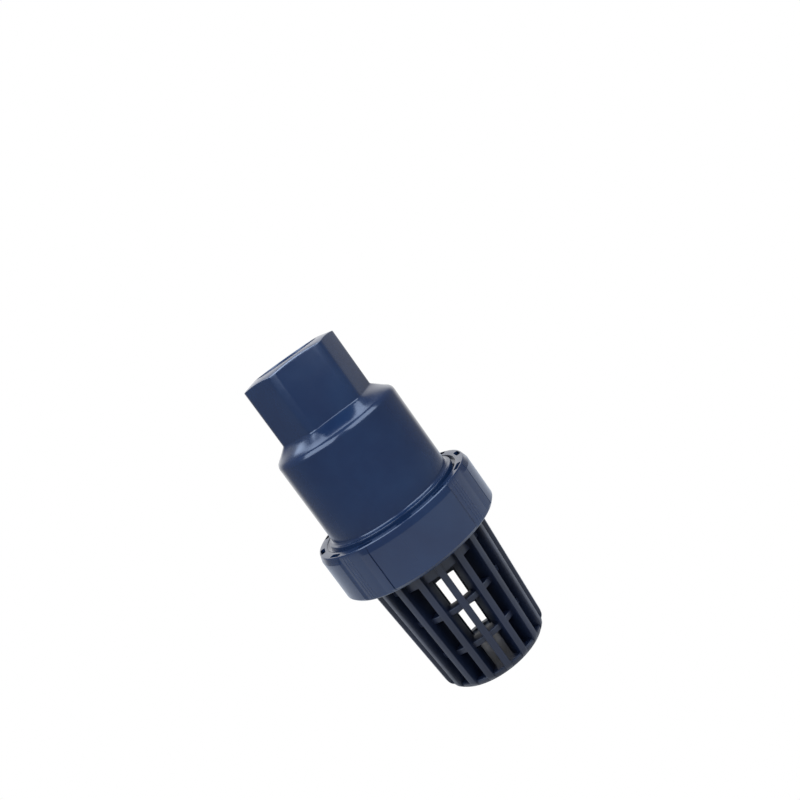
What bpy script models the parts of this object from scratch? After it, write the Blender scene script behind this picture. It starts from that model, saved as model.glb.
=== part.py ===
"""Foot valve for a suction pipe: a barrel with a threaded hexagon port, a spring-closed poppet on a
seat ring, and a strainer basket held on from below by a union nut.

All sizes are millimetres and are turned into metres as each mesh is made. +Z is up, along the axis of
the valve. The origin is the middle of the strainer's flat floor. Angle 0 faces -Y and grows towards +X.
"""

from math import cos, pi, radians, sin

import bmesh
import bpy

MM = 0.001

# Strainer basket
BASKET_HEIGHT = 85.2  # floor to the underside of the union nut
BASKET_BOTTOM_RADIUS = 36.6
BASKET_TOP_RADIUS = 41.9
BASKET_CORNER_RADIUS = 6.0
BASKET_FLOOR = 3.4
RIB_COUNT = 18
RIB_WIDTH = 4.4
RIB_DEPTH = 12.6
HOOP_COUNT = 3
HOOP_PITCH = 25.2
HOOP_HEIGHT = 3.8
HOOP_RECESS = 4.6  # how far the hoops sit inside the ribs' outer faces
FLANGE_THICKNESS = 4.0

# Union nut
NUT_HEIGHT = 32.0
NUT_WALL = 5.9  # from the top opening to the base outline
NUT_LIP = 5.0
NUT_BOTTOM_BEVEL = 2.0
PAD_COUNT = 4
PAD_START = -29.0  # degrees
PAD_END = 35.5
PAD_RAMP = 7.5
PAD_STEP = 1.5
PAD_HEIGHT = 1.1
PAD_CHAMFER = 4.2
POCKET_COUNT = 12
POCKET_WIDTH = 3.0
POCKET_LENGTH = 10.2
POCKET_DEPTH = 20.0
POCKET_INSET = 1.7  # from the nut's top opening

# Barrel, with its hexagon port
BARREL_RADIUS = 42.1
BARREL_WALL = 4.5
BARREL_HEIGHT = 58.5  # union nut's top to the shoulder
SHOULDER_ROUND = 5.0
SHOULDER_ARC = 60.0  # degrees of that radius, from the barrel's wall to the flare
FLARE_HEIGHT = 8.0
STEP_WALL = 2.7  # how much the wall thickens above the cage
HEX_FLAT = 29.0  # axis to flat
HEX_CORNER_RADIUS = 3.7
HEX_HEIGHT = 41.2
HEX_TURN = -22.5  # degrees, angle of one corner
PORT_RADIUS = 20.2  # pitch line of the 1 1/4 inch pipe thread
PORT_DEPTH = 24.0
PORT_CHAMFER = 1.0
THROAT_RADIUS = 17.5
THROAT_LENGTH = 8.0
CONE_HEIGHT = 24.0
RIM_WIDTH = 1.8
RIM_SLOPE = 0.42  # fall of the rim's cone for each millimetre outwards

# Union thread, modelled smooth at its pitch line
THREAD_DEPTH = 2.2
THREAD_STEP = 2.3  # barrel radius to thread root
THREAD_LENGTH = 12.0
COLLAR_INSET = 1.7  # thread crest to collar
COLLAR_TOP = 1.4  # collar's height above the union nut
COLLAR_FILLET = 1.5
THREAD_LEAD_IN = 1.5  # from the barrel's end to its thread
NUT_GAP = 0.8  # thread crest to the nut's top opening

# Seat ring and seals
SEAT_BORE_RADIUS = 24.0
SEAT_FLANGE = 4.0
SEAT_SPIGOT = 11.0
SEAT_RISE = 1.2  # raised face that the seal closes on
SEAT_LEAD_IN = 2.5
O_RING_SECTION = 2.8
O_RING_CENTRE_BELOW_SEAT = 5.2
GASKET_THICKNESS = 2.0
GASKET_WIDTH = 6.5

# Guide cage and bush
CAGE_HEIGHT = 4.0
CAGE_RING_WIDTH = 3.6
CAGE_SPOKES = 4
CAGE_SPOKE_WIDTH = 4.4
HUB_RADIUS = 12.0
HUB_HEIGHT = 12.0
HUB_TAPER = 1.5
BUSH_WALL = 0.9
BUSH_FLANGE = 1.4
BUSH_FLANGE_WIDTH = 2.0

# Poppet
POPPET_LIFT = 11.0
LIFT_CLEARANCE = 0.9  # left above the stem's collar at full lift
STEM_RADIUS = 4.0
STEM_TAIL = 12.4  # below the seat's face
STEM_ABOVE_CAGE = 12.0
STEM_COLLAR_RADIUS = 6.5
STEM_COLLAR_HEIGHT = 3.0
DISC_OVERLAP = 5.0  # disc radius beyond the seat bore
DISC_THICKNESS = 6.0
BOSS_HEIGHT = 5.0
BOSS_WALL = 4.1
SEAL_THICKNESS = 2.5
RETAINER_CLEARANCE = 2.5
RETAINER_THICKNESS = 2.4
LOCK_WASHER_RADIUS = 8.0
LOCK_WASHER_THICKNESS = 1.7
LOCK_NUT_FLATS = 13.0
LOCK_NUT_HEIGHT = 6.0

# Closing spring
SPRING_WIRE = 1.2
SPRING_TURNS = 4.5
END_TURN_EASE = 0.6  # 0 for an even pitch, towards 1 for flat end turns
SPRING_CLEARANCE = 1.0  # around the disc's boss
SPRING_LAND = 1.5  # flat of the disc outside the spring
SPRING_WASHER_THICKNESS = 0.8

# Clearances
GAP = 0.3  # between pieces that touch
SLIDE = 0.4  # between pieces that slide or screw
HOLE = 0.4  # around the stem where a piece is threaded on it

EDGE = 0.6  # small chamfers on moulded and turned edges
CHAMFER = 1.0  # chamfers that lead a piece in

COLUMNS = 60  # of the outside pieces
INNER_COLUMNS = 40  # of the pieces inside
SMALL_COLUMNS = 24  # of the pieces on the stem

# Heights, from the floor upwards
nut_bottom = BASKET_HEIGHT
nut_top = nut_bottom + NUT_HEIGHT
lip_top = nut_bottom + NUT_LIP
flange_bottom = lip_top + GAP
flange_top = flange_bottom + FLANGE_THICKNESS
gasket_bottom = flange_top + GAP
gasket_top = gasket_bottom + GASKET_THICKNESS
seat_bottom = gasket_top + GAP
seat_flange_top = seat_bottom + SEAT_FLANGE
barrel_bottom = seat_flange_top + GAP
thread_bottom = barrel_bottom + THREAD_LEAD_IN
thread_top = thread_bottom + THREAD_LENGTH
seat_face = seat_flange_top + SEAT_SPIGOT
shoulder = nut_top + BARREL_HEIGHT
hex_bottom = shoulder + FLARE_HEIGHT
valve_top = hex_bottom + HEX_HEIGHT
throat_top = valve_top - PORT_DEPTH
cone_top = throat_top - THROAT_LENGTH
cone_bottom = cone_top - CONE_HEIGHT
seal_bottom = seat_face + GAP
seal_top = seal_bottom + SEAL_THICKNESS
disc_bottom = seal_top + GAP
disc_top = disc_bottom + DISC_THICKNESS
boss_top = disc_top + BOSS_HEIGHT
stem_collar_top = boss_top + GAP + STEM_COLLAR_HEIGHT
bush_bottom = stem_collar_top + POPPET_LIFT + LIFT_CLEARANCE
cage_bottom = bush_bottom + BUSH_FLANGE + GAP
cage_top = cage_bottom + CAGE_HEIGHT
hub_top = cage_bottom + HUB_HEIGHT
retainer_top = seal_bottom - GAP
retainer_bottom = retainer_top - RETAINER_THICKNESS
lock_washer_top = retainer_bottom - GAP
lock_nut_top = lock_washer_top - LOCK_WASHER_THICKNESS - GAP
spring_washer_top = cage_bottom - GAP

# Radii, from the barrel outwards and inwards
chamber_radius = BARREL_RADIUS - BARREL_WALL
upper_chamber_radius = chamber_radius - STEP_WALL
thread_root = BARREL_RADIUS + THREAD_STEP
thread_crest = thread_root + THREAD_DEPTH
thread_pitch_line = thread_root + THREAD_DEPTH / 2
collar_radius = thread_crest - COLLAR_INSET
nut_opening = thread_crest + NUT_GAP
nut_base_radius = nut_opening + NUT_WALL
nut_pad_radius = nut_base_radius + PAD_HEIGHT
lip_radius = BASKET_TOP_RADIUS + SLIDE
stack_radius = thread_root + SLIDE - GAP
spigot_radius = chamber_radius - SLIDE
bush_bore = STEM_RADIUS + SLIDE
bush_radius = bush_bore + BUSH_WALL
boss_radius = STEM_RADIUS + HOLE + BOSS_WALL
spring_radius = boss_radius + SPRING_CLEARANCE + SPRING_WIRE / 2
disc_radius = SEAT_BORE_RADIUS + DISC_OVERLAP

NAVY = (0.016, 0.038, 0.105)
GREY_PVC = (0.16, 0.17, 0.18)
WHITE_PTFE = (0.75, 0.75, 0.72)
BLACK_EPDM = (0.012, 0.012, 0.013)
STEEL = (0.56, 0.55, 0.53)


def clear_scene():
    for obj in list(bpy.data.objects):
        bpy.data.objects.remove(obj, do_unlink=True)


def material(name, color, roughness, metallic=0.0):
    made = bpy.data.materials.new(name)
    made.use_nodes = True
    shader = made.node_tree.nodes["Principled BSDF"]
    shader.inputs["Base Color"].default_value = (*color, 1.0)
    shader.inputs["Roughness"].default_value = roughness
    shader.inputs["Metallic"].default_value = metallic
    return made


def point(radius, angle, z):
    """A point in metres from millimetres and degrees: angle 0 faces -Y and grows towards +X."""
    turn = radians(angle)
    return (radius * sin(turn) * MM, -radius * cos(turn) * MM, z * MM)


def even_angles(first=0.0, count=COLUMNS):
    return [first + 360.0 * step / count for step in range(count)]


def add_object(name, mesh, finish=None):
    obj = bpy.data.objects.new(name, mesh)
    bpy.context.scene.collection.objects.link(obj)
    if finish:
        mesh.materials.append(finish)
        mesh.shade_smooth()
        mesh.set_sharp_from_angle(angle=radians(32))
    return obj


def finish_mesh(name, bm):
    bmesh.ops.recalc_face_normals(bm, faces=bm.faces)
    mesh = bpy.data.meshes.new(name)
    bm.to_mesh(mesh)
    bm.free()
    return mesh


def ring_mesh(name, rings, angles):
    """A closed body lofted through rings, the last joined to the first. Each ring is (radius, z), where
    either may be a function of the angle."""
    bm = bmesh.new()
    loops = []
    for radius, z in rings:
        loop = []
        for angle in angles:
            at_radius = radius(angle) if callable(radius) else radius
            at_z = z(angle) if callable(z) else z
            loop.append(bm.verts.new(point(at_radius, angle, at_z)))
        loops.append(loop)
    for here, after in zip(loops, loops[1:] + loops[:1]):
        for step in range(len(angles)):
            follow = (step + 1) % len(angles)
            bm.faces.new((here[step], here[follow], after[follow], after[step]))
    return finish_mesh(name, bm)


def turned(name, finish, rings, angles=None):
    return add_object(name, ring_mesh(name, rings, angles or even_angles()), finish)


def solid_of_revolution(name, finish, outline, angles=None):
    """A solid with no hole along the axis: the outline's two ends are closed by flat caps."""
    angles = angles or even_angles()
    bm = bmesh.new()
    loops = [[bm.verts.new(point(radius, angle, z)) for angle in angles] for radius, z in outline]
    for here, after in zip(loops, loops[1:]):
        for step in range(len(angles)):
            follow = (step + 1) % len(angles)
            bm.faces.new((here[step], here[follow], after[follow], after[step]))
    bm.faces.new(loops[0])
    bm.faces.new(loops[-1])
    return add_object(name, finish_mesh(name, bm), finish)


def prisms(name, outlines):
    """One mesh of separate prisms. Each has a lower and an upper outline of the same number of points."""
    bm = bmesh.new()
    for lower, upper in outlines:
        low = [bm.verts.new(corner) for corner in lower]
        high = [bm.verts.new(corner) for corner in upper]
        bm.faces.new(low)
        bm.faces.new(high)
        for step in range(len(low)):
            follow = (step + 1) % len(low)
            bm.faces.new((low[step], low[follow], high[follow], high[step]))
    return finish_mesh(name, bm)


def helper(name, mesh):
    """An object that only shapes another one."""
    obj = add_object(name, mesh)
    obj.hide_render = True
    obj.display_type = "WIRE"
    return obj


def combine(obj, operation, other):
    modifier = obj.modifiers.new(other.name, "BOOLEAN")
    modifier.operation = operation
    modifier.object = other


def bar_outline(length_from, length_to, width, angle, z):
    """Corners of a level bar that runs outwards at an angle, at one height."""
    along = point(1.0, angle, 0.0)
    across = point(1.0, angle + 90.0, 0.0)
    corners = []
    for run, side in ((length_from, -1), (length_to, -1), (length_to, 1), (length_from, 1)):
        x = along[0] * run + across[0] * side * width / 2
        y = along[1] * run + across[1] * side * width / 2
        corners.append((x, y, z * MM))
    return corners


def hex_radius(angle):
    """Distance from the axis to the outline of a hexagon with rounded corners."""
    turn = radians((angle - HEX_TURN + 30.0) % 60.0 - 30.0)
    centre = (HEX_FLAT - HEX_CORNER_RADIUS) / cos(pi / 6)
    across = centre * sin(turn)
    on_flat = HEX_FLAT / cos(pi / 6 - abs(turn))
    if abs(across) >= HEX_CORNER_RADIUS:
        return on_flat
    on_corner = centre * cos(turn) + (HEX_CORNER_RADIUS**2 - across**2) ** 0.5
    return min(on_flat, on_corner)


def basket_radius(z):
    return BASKET_BOTTOM_RADIUS + (BASKET_TOP_RADIUS - BASKET_BOTTOM_RADIUS) * z / BASKET_HEIGHT


def shoulder_arc():
    """Points round the shoulder, from the flare's slope down to the barrel's wall."""
    centre_radius = BARREL_RADIUS - SHOULDER_ROUND
    centre_z = shoulder - SHOULDER_ROUND
    points = []
    for turn in (SHOULDER_ARC, 2 / 3 * SHOULDER_ARC, 1 / 3 * SHOULDER_ARC, 0.0):
        across, up = SHOULDER_ROUND * cos(radians(turn)), SHOULDER_ROUND * sin(radians(turn))
        points.append((centre_radius + across, centre_z + up))
    return points


def make_barrel(finish):
    rim_radius = PORT_RADIUS + PORT_CHAMFER + RIM_WIDTH
    collar_top = nut_top + COLLAR_TOP
    rings = [
        (rim_radius, valve_top),
        (hex_radius, lambda angle: valve_top - RIM_SLOPE * (hex_radius(angle) - rim_radius)),
        (hex_radius, hex_bottom),
        *shoulder_arc(),
        (BARREL_RADIUS, collar_top + COLLAR_FILLET),
        (collar_radius - EDGE, collar_top),
        (collar_radius, collar_top - EDGE),
        (collar_radius, thread_top + EDGE),
        (thread_pitch_line, thread_top),
        (thread_pitch_line, thread_bottom),
        (thread_root, barrel_bottom),
        (chamber_radius + EDGE, barrel_bottom),
        (chamber_radius, barrel_bottom + EDGE),
        (chamber_radius, cage_top + GAP),
        (upper_chamber_radius, cage_top + GAP),
        (upper_chamber_radius, cone_bottom),
        (THROAT_RADIUS, cone_top),
        (THROAT_RADIUS, throat_top),
        (PORT_RADIUS, throat_top),
        (PORT_RADIUS, valve_top - PORT_CHAMFER),
        (PORT_RADIUS + PORT_CHAMFER, valve_top),
    ]
    return turned("valve_body", finish, rings, even_angles(HEX_TURN))


def nut_angles():
    """Column angles with one on each edge of the nut's grip pads."""
    pitch = 360.0 / PAD_COUNT
    pad_steps = 12
    flat_steps = 3
    flat_from = PAD_END + PAD_STEP
    flat_to = PAD_START - PAD_RAMP + pitch
    angles = []
    for pad in range(PAD_COUNT):
        turn = pad * pitch
        for first, last, steps in ((PAD_START, PAD_END, pad_steps), (flat_from, flat_to, flat_steps)):
            angles += [turn + first + (last - first) * step / steps for step in range(steps + 1)]
    return angles


def pad_share(angle):
    """0 on the nut's base outline, 1 on a grip pad."""
    pitch = 360.0 / PAD_COUNT
    turn = (angle - PAD_START + PAD_RAMP + 0.001) % pitch - 0.001
    if turn < PAD_RAMP:
        return turn / PAD_RAMP
    past = turn - PAD_RAMP - (PAD_END - PAD_START)
    return min(1.0, max(0.0, 1.0 - past / PAD_STEP))


def make_union_nut(finish):
    def outline(angle):
        return nut_base_radius + PAD_HEIGHT * pad_share(angle)

    def under_chamfer(angle):
        return nut_top - EDGE - (PAD_CHAMFER - EDGE) * pad_share(angle)

    def above_bevel(angle):
        return nut_bottom + EDGE + (NUT_BOTTOM_BEVEL - EDGE) * pad_share(angle)

    thread_radius = thread_pitch_line + SLIDE
    rings = [
        (nut_opening, nut_top),
        (nut_base_radius - EDGE, nut_top),
        (outline, under_chamfer),
        (outline, above_bevel),
        (nut_base_radius - EDGE, nut_bottom),
        (lip_radius, nut_bottom),
        (lip_radius, lip_top),
        (thread_radius, lip_top),
        (thread_radius, thread_top),
        (nut_opening, thread_top + CHAMFER),
    ]
    nut = turned("union_nut", finish, rings, nut_angles())
    middle = nut_opening + POCKET_INSET + POCKET_WIDTH / 2
    pockets = []
    for angle in even_angles(0.0, POCKET_COUNT):
        inner, outer = middle - POCKET_WIDTH / 2, middle + POCKET_WIDTH / 2
        pockets.append(
            (
                bar_outline(inner, outer, POCKET_LENGTH, angle, nut_top - POCKET_DEPTH),
                bar_outline(inner, outer, POCKET_LENGTH, angle, nut_top + CHAMFER),
            )
        )
    combine(nut, "DIFFERENCE", helper("nut_pocket_cutter", prisms("nut_pocket_cutter", pockets)))
    return nut


def gap_outline(inner, outer, angle, z):
    """Corners of the space between two neighbouring ribs, at one height."""
    pitch = 360.0 / RIB_COUNT
    first = bar_outline(inner, outer, RIB_WIDTH, angle, z)
    second = bar_outline(inner, outer, RIB_WIDTH, angle + pitch, z)
    return [first[3], first[2], second[1], second[0]]


def make_basket(finish):
    corner = BASKET_CORNER_RADIUS
    lean = (BASKET_TOP_RADIUS - BASKET_BOTTOM_RADIUS) / BASKET_HEIGHT
    corner_points = []
    for share in (0.0, 0.25, 0.5, 0.75, 1.0):
        turn = share * pi / 2
        z = corner * (1 - cos(turn))
        corner_points.append((BASKET_BOTTOM_RADIUS + lean * corner - corner * (1 - sin(turn)), z))
    inner_bottom = basket_radius(BASKET_FLOOR) - RIB_DEPTH
    inner_top = BASKET_TOP_RADIUS - RIB_DEPTH
    outline = corner_points + [
        (BASKET_TOP_RADIUS, BASKET_HEIGHT),
        (BASKET_TOP_RADIUS, flange_bottom),
        (stack_radius, flange_bottom),
        (stack_radius, flange_top),
        (inner_top, flange_top),
        (inner_top, BASKET_HEIGHT),
        (inner_bottom, BASKET_FLOOR),
    ]
    basket = solid_of_revolution("strainer_basket", finish, outline)
    groove_top = BASKET_HEIGHT - CHAMFER
    beyond = 6.0  # cutters reach this far past the surface
    grooves, windows = [], []
    hoops = [HOOP_PITCH * (level + 1) for level in range(HOOP_COUNT)]
    sills = [BASKET_FLOOR] + [z + HOOP_HEIGHT / 2 for z in hoops[:-1]]
    heads = [z - HOOP_HEIGHT / 2 for z in hoops]
    for angle in even_angles(0.0, RIB_COUNT):
        low, high = -CHAMFER, groove_top
        outlines = []
        for z in (low, high):
            root = basket_radius(z) - HOOP_RECESS
            outlines.append(gap_outline(root, root + HOOP_RECESS + beyond, angle, z))
        grooves.append(outlines)
        for sill, head in zip(sills, heads):
            inner = basket_radius(sill) - RIB_DEPTH - beyond
            outer = basket_radius(head) + beyond
            lower = gap_outline(inner, outer, angle, sill)
            upper = gap_outline(inner, outer, angle, head)
            windows.append((lower, upper))
    combine(basket, "DIFFERENCE", helper("rib_groove_cutter", prisms("rib_groove_cutter", grooves)))
    combine(basket, "DIFFERENCE", helper("rib_window_cutter", prisms("rib_window_cutter", windows)))
    return basket


def make_gasket(finish):
    rings = [
        (stack_radius, gasket_bottom),
        (stack_radius, gasket_top),
        (stack_radius - GASKET_WIDTH, gasket_top),
        (stack_radius - GASKET_WIDTH, gasket_bottom),
    ]
    return turned("flange_gasket", finish, rings, even_angles(0.0, INNER_COLUMNS))


def make_seat_ring(finish):
    groove_centre = seat_face - O_RING_CENTRE_BELOW_SEAT
    groove_half = O_RING_SECTION / 2 + GAP
    groove_root = chamber_radius - O_RING_SECTION - 2 * GAP
    rings = [
        (SEAT_BORE_RADIUS, seat_face),
        (disc_radius - CHAMFER, seat_face),
        (disc_radius, seat_face - SEAT_RISE),
        (spigot_radius - CHAMFER, seat_face - SEAT_RISE),
        (spigot_radius, seat_face - SEAT_RISE - CHAMFER),
        (spigot_radius, groove_centre + groove_half),
        (groove_root, groove_centre + groove_half),
        (groove_root, groove_centre - groove_half),
        (spigot_radius, groove_centre - groove_half),
        (spigot_radius, seat_flange_top),
        (stack_radius, seat_flange_top),
        (stack_radius, seat_bottom),
        (SEAT_BORE_RADIUS + SEAT_LEAD_IN, seat_bottom),
        (SEAT_BORE_RADIUS, seat_bottom + SEAT_LEAD_IN),
    ]
    return turned("seat_ring", finish, rings, even_angles(0.0, INNER_COLUMNS))


def make_o_ring(finish):
    centre_z = seat_face - O_RING_CENTRE_BELOW_SEAT
    centre_radius = chamber_radius - GAP - O_RING_SECTION / 2
    sides = 6
    rings = []
    for side in range(sides):
        turn = 2 * pi * side / sides
        across, up = O_RING_SECTION / 2 * cos(turn), O_RING_SECTION / 2 * sin(turn)
        rings.append((centre_radius + across, centre_z + up))
    return turned("seat_ring_o_ring", finish, rings, even_angles(0.0, INNER_COLUMNS))


def make_guide_cage(finish):
    ring_inner = spigot_radius - CAGE_RING_WIDTH
    hub_bore = bush_radius + GAP
    cage = turned(
        "guide_cage",
        finish,
        [
            (spigot_radius, cage_bottom),
            (spigot_radius, cage_top),
            (ring_inner, cage_top),
            (ring_inner, cage_bottom),
        ],
        even_angles(0.0, INNER_COLUMNS),
    )
    hub = ring_mesh(
        "cage_hub_shape",
        [
            (HUB_RADIUS, cage_bottom),
            (HUB_RADIUS - HUB_TAPER, hub_top),
            (hub_bore, hub_top),
            (hub_bore, cage_bottom),
        ],
        even_angles(0.0, SMALL_COLUMNS),
    )
    spokes = []
    for angle in even_angles(45.0, CAGE_SPOKES):
        inner, outer = HUB_RADIUS - 2 * CHAMFER, ring_inner + CHAMFER
        low = bar_outline(inner, outer, CAGE_SPOKE_WIDTH, angle, cage_bottom + EDGE)
        high = bar_outline(inner, outer, CAGE_SPOKE_WIDTH, angle, cage_top - EDGE)
        spokes.append((low, high))
    combine(cage, "UNION", helper("cage_spoke_shape", prisms("cage_spoke_shape", spokes)))
    combine(cage, "UNION", helper("cage_hub_shape", hub))
    return cage


def make_guide_bush(finish):
    rings = [
        (bush_radius, hub_top),
        (bush_radius, cage_bottom - GAP),
        (bush_radius + BUSH_FLANGE_WIDTH, cage_bottom - GAP),
        (bush_radius + BUSH_FLANGE_WIDTH, bush_bottom),
        (bush_bore, bush_bottom),
        (bush_bore, hub_top),
    ]
    return turned("guide_bush", finish, rings, even_angles(0.0, SMALL_COLUMNS))


def make_spring_washer(finish):
    inner = bush_radius + BUSH_FLANGE_WIDTH + GAP
    outer = spring_radius + SPRING_WIRE / 2 + EDGE
    bottom = spring_washer_top - SPRING_WASHER_THICKNESS
    rings = [(outer, spring_washer_top), (outer, bottom), (inner, bottom), (inner, spring_washer_top)]
    return turned("spring_washer", finish, rings, even_angles(0.0, INNER_COLUMNS))


def make_spring(finish):
    """A wire along a helix whose pitch is smaller at both ends."""
    low = disc_top + GAP + SPRING_WIRE / 2
    high = spring_washer_top - SPRING_WASHER_THICKNESS - GAP - SPRING_WIRE / 2
    steps_per_turn = 16
    steps = int(SPRING_TURNS * steps_per_turn)
    curve = bpy.data.curves.new("closing_spring", "CURVE")
    curve.dimensions = "3D"
    curve.bevel_depth = SPRING_WIRE / 2 * MM
    curve.bevel_resolution = 1
    curve.use_fill_caps = True
    spline = curve.splines.new("POLY")
    spline.points.add(steps)
    for step in range(steps + 1):
        share = step / steps
        eased = share - END_TURN_EASE * sin(2 * pi * share) / (2 * pi)
        x, y, z = point(spring_radius, 360.0 * SPRING_TURNS * share, low + (high - low) * eased)
        spline.points[step].co = (x, y, z, 1.0)
    curve.materials.append(finish)
    obj = bpy.data.objects.new("closing_spring", curve)
    bpy.context.scene.collection.objects.link(obj)
    return obj


def make_poppet(finishes):
    navy, rubber, steel = finishes
    stem_hole = STEM_RADIUS + HOLE
    stem = solid_of_revolution(
        "poppet_stem",
        steel,
        [
            (STEM_RADIUS - EDGE, seat_face - STEM_TAIL),
            (STEM_RADIUS, seat_face - STEM_TAIL + EDGE),
            (STEM_RADIUS, boss_top + GAP),
            (STEM_COLLAR_RADIUS, boss_top + GAP),
            (STEM_COLLAR_RADIUS, stem_collar_top),
            (STEM_RADIUS, stem_collar_top),
            (STEM_RADIUS, cage_top + STEM_ABOVE_CAGE - EDGE),
            (STEM_RADIUS - EDGE, cage_top + STEM_ABOVE_CAGE),
        ],
        even_angles(0.0, SMALL_COLUMNS),
    )
    disc = turned(
        "poppet_disc",
        navy,
        [
            (disc_radius - CHAMFER, disc_bottom),
            (disc_radius, disc_bottom + CHAMFER),
            (disc_radius, disc_bottom + 0.4 * DISC_THICKNESS),
            (spring_radius + SPRING_WIRE / 2 + SPRING_LAND, disc_top),
            (boss_radius, disc_top),
            (boss_radius, boss_top - EDGE),
            (boss_radius - EDGE, boss_top),
            (stem_hole, boss_top),
            (stem_hole, disc_bottom),
        ],
        even_angles(0.0, INNER_COLUMNS),
    )
    seal = turned(
        "seat_seal",
        rubber,
        [
            (disc_radius - CHAMFER, seal_bottom),
            (disc_radius - CHAMFER, seal_top),
            (stem_hole, seal_top),
            (stem_hole, seal_bottom),
        ],
        even_angles(0.0, INNER_COLUMNS),
    )
    retainer_radius = SEAT_BORE_RADIUS - RETAINER_CLEARANCE
    retainer = turned(
        "seal_retainer",
        navy,
        [
            (retainer_radius, retainer_top),
            (retainer_radius - CHAMFER, retainer_bottom),
            (stem_hole, retainer_bottom),
            (stem_hole, retainer_top),
        ],
        even_angles(0.0, INNER_COLUMNS),
    )
    washer_bottom = lock_washer_top - LOCK_WASHER_THICKNESS
    washer = turned(
        "lock_washer",
        steel,
        [
            (LOCK_WASHER_RADIUS, lock_washer_top),
            (LOCK_WASHER_RADIUS, washer_bottom),
            (stem_hole, washer_bottom),
            (stem_hole, lock_washer_top),
        ],
        even_angles(0.0, SMALL_COLUMNS),
    )
    lock_nut_bottom = lock_nut_top - LOCK_NUT_HEIGHT

    def hexagon(angle):
        return LOCK_NUT_FLATS / 2 / cos(radians(angle % 60.0 - 30.0))

    lock_nut = turned(
        "stem_lock_nut",
        steel,
        [
            (LOCK_NUT_FLATS / 2, lock_nut_top),
            (hexagon, lock_nut_top - EDGE),
            (hexagon, lock_nut_bottom + EDGE),
            (LOCK_NUT_FLATS / 2, lock_nut_bottom),
            (stem_hole, lock_nut_bottom),
            (stem_hole, lock_nut_top),
        ],
        even_angles(0.0, SMALL_COLUMNS),
    )
    return [stem, disc, seal, retainer, washer, lock_nut]


def empty_at(name, z, parent=None):
    empty = bpy.data.objects.new(name, None)
    empty.location = (0.0, 0.0, z * MM)
    bpy.context.scene.collection.objects.link(empty)
    if parent:
        attach(empty, parent)
    return empty


def attach(obj, parent):
    bpy.context.view_layer.update()
    obj.parent = parent
    obj.matrix_parent_inverse = parent.matrix_world.inverted()


def main():
    clear_scene()
    navy = material("moulded_navy_pvc", NAVY, 0.38)
    grey = material("moulded_grey_pvc", GREY_PVC, 0.45)
    ptfe = material("white_ptfe", WHITE_PTFE, 0.4)
    rubber = material("black_epdm", BLACK_EPDM, 0.6)
    steel = material("stainless_steel", STEEL, 0.28, 1.0)

    valve = make_barrel(navy)
    for piece in (
        make_seat_ring(grey),
        make_o_ring(rubber),
        make_guide_cage(grey),
        make_guide_bush(ptfe),
        make_spring_washer(steel),
        make_spring(steel),
    ):
        attach(piece, valve)

    poppet_slide = empty_at("poppet_slide", seat_face, valve)
    for piece in make_poppet((navy, rubber, steel)):
        attach(piece, poppet_slide)

    strainer_slide = empty_at("strainer_slide", flange_bottom, valve)
    attach(make_basket(navy), strainer_slide)
    attach(make_gasket(rubber), strainer_slide)
    nut_axis = empty_at("nut_axis", nut_bottom, strainer_slide)
    attach(make_union_nut(navy), nut_axis)


main()
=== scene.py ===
import bmesh
import bpy
from math import atan2, cos, degrees, pi, radians, sin, tan
from mathutils import Matrix, Vector


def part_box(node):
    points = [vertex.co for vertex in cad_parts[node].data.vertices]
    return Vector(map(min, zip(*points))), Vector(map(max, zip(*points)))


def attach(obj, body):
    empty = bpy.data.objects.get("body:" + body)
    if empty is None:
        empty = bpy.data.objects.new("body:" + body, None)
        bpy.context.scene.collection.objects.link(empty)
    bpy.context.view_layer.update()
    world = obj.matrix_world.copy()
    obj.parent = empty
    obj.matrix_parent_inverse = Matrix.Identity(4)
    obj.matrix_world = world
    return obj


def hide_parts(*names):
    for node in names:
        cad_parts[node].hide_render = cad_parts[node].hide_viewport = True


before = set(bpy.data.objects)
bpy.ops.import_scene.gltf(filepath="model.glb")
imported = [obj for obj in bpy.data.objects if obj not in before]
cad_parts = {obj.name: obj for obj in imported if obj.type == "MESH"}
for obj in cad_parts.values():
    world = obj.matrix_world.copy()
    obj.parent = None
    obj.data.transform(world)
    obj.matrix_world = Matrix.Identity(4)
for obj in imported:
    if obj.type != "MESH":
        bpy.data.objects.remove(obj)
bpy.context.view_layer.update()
mm = 0.001
print("frame loaded")


# Camera: just above the port's height and rolled, so that the standing valve lies across the picture
cameraView = dict(place=(0.0, -0.4921, 0.2394), aim=(0.0406, -0.0037, 0.1654), roll=-35.21, lens=36.99)


def addCamera():
    data = bpy.data.cameras.new("camera")
    data.lens = cameraView["lens"]
    data.sensor_width = 36.0
    camera = bpy.data.objects.new("camera", data)
    bpy.context.scene.collection.objects.link(camera)
    sight = Vector(cameraView["aim"]) - Vector(cameraView["place"])
    turn = sight.to_track_quat("-Z", "Y").to_matrix() @ Matrix.Rotation(radians(cameraView["roll"]), 3, "Z")
    camera.matrix_world = Matrix.Translation(cameraView["place"]) @ turn.to_4x4()
    bpy.context.scene.camera = camera


addCamera()


# Small tools

def linearColour(hexCode):  # sRGB hex to the linear colour that a shader takes
    channels = [int(hexCode[at:at + 2], 16) / 255 for at in (1, 3, 5)]
    return [c / 12.92 if c <= 0.04045 else ((c + 0.055) / 1.055) ** 2.4 for c in channels] + [1.0]


def addNode(tree, kind, settings=None, inputs=None):
    node = tree.nodes.new(kind)
    for name, value in (settings or {}).items():
        setattr(node, name, value)
    for name, value in (inputs or {}).items():
        if isinstance(value, bpy.types.NodeSocket):
            tree.links.new(value, node.inputs[name])
        else:
            node.inputs[name].default_value = value
    return node


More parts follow.
